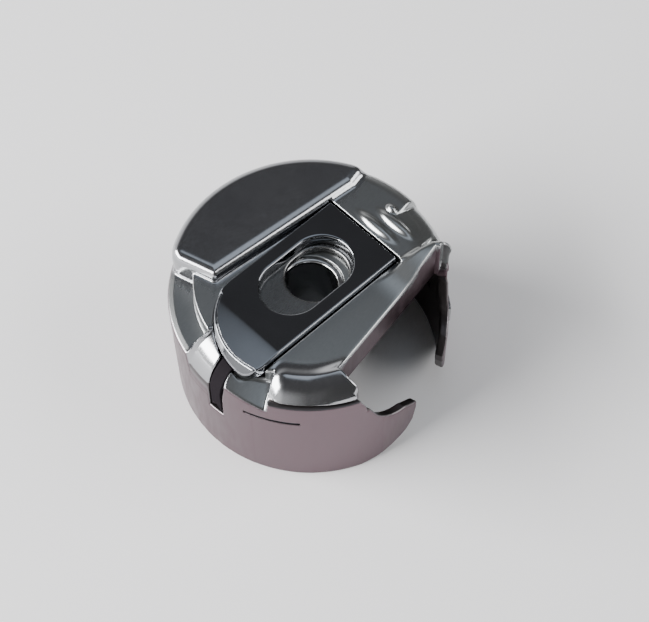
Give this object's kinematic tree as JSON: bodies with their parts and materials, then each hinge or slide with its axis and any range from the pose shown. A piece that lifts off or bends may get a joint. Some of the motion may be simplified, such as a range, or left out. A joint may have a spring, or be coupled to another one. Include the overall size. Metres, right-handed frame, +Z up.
{
  "type": "bobbin case",
  "caption": "Steel rotary-hook bobbin case: a cup with a side opening between two horns and a hinged latch lever over a sliding latch plate.",
  "frame": {"origin": "on the case's axis in the plane of the open rim, at the mouth of the centre tube", "axes": "+Z up the axis out of the face; +X along the latch lever from its free end to its hinge; +Y to the raised segment"},
  "size_m": [0.025, 0.024, 0.0139],
  "materials": {
    "polished_steel": "polished tool steel, satin on the milled faces",
    "tube_steel": "turned and reamed",
    "slide_steel": "satin, ground",
    "lever_steel": "dark mirror polish",
    "pin_steel": "bright ground",
    "spring_steel": "bright rolled",
    "screw_steel": "turned, slightly dark"
  },
  "bodies": {
    "case": {"case_body": "polished_steel", "centre_tube": "tube_steel", "latch_spring": "spring_steel", "slide_stop_pin": "pin_steel", "brake_spring": "spring_steel", "tension_spring": "spring_steel", "tension_fixing_screw": "screw_steel"},
    "slide": {"latch_slide": "slide_steel", "latch_hinge_pin": "pin_steel"},
    "lever": {"latch_lever": "lever_steel"},
    "adjuster": {"tension_adjusting_screw": "screw_steel"}
  },
  "joints": [
    {"name": "slide_travel", "type": "slide", "parent": "case", "child": "slide", "axis": [-1, 0, 0], "range_m": [0, 0.0013], "stiffness_N_per_m": 200, "springref_m": -0.001, "deforming": ["latch_spring"]},
    {"name": "lever_lift", "type": "hinge", "parent": "slide", "child": "lever", "pos_m": [0.00565, 0, 0.01205], "axis": [0, 1, 0], "range_deg": [0, 85]},
    {"name": "adjuster_turn", "type": "hinge", "parent": "case", "child": "adjuster", "pos_m": [0.0122, 0.00171, 0.0064], "axis": [0.9903, 0.1392, 0], "range_deg": [-180, 180]}
  ],
  "couplings": [
    {"joint": "lever_lift", "follows": "slide_travel", "rad_per_m": 1141.1}
  ]
}
